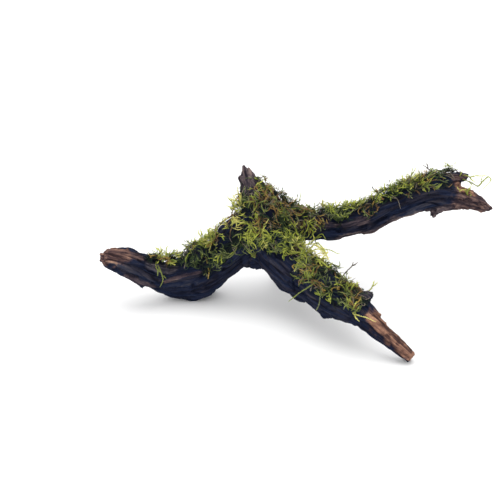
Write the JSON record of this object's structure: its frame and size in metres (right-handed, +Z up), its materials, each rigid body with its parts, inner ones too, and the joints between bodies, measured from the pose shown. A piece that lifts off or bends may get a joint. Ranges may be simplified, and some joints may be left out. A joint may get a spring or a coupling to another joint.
{
  "type": "driftwood with java moss",
  "caption": "Branching dark driftwood that stands on its own limbs, with java moss spread over its crown and along its branches, for an aquarium or terrarium.",
  "frame": {"origin": "middle of the base of the whole object's box, on the surface it stands on", "axes": "+X along the length, towards the long raised arm; -Y towards the front leg's foot; +Z up"},
  "size_m": [0.2884, 0.144, 0.0928],
  "materials": {
    "driftwood": "weathered, near-black, with brown worn ends",
    "java_moss": "soft, yellow-green to olive, with brown old fronds"
  },
  "bodies": {
    "root": {"driftwood_crown": "driftwood", "club_limb": "driftwood", "back_stub": "driftwood", "long_arm": "driftwood", "front_leg": "driftwood", "heel_root": "driftwood", "moss_crown": "java_moss", "moss_club": "java_moss", "moss_arm": "java_moss", "moss_leg": "java_moss"}
  },
  "joints": []
}
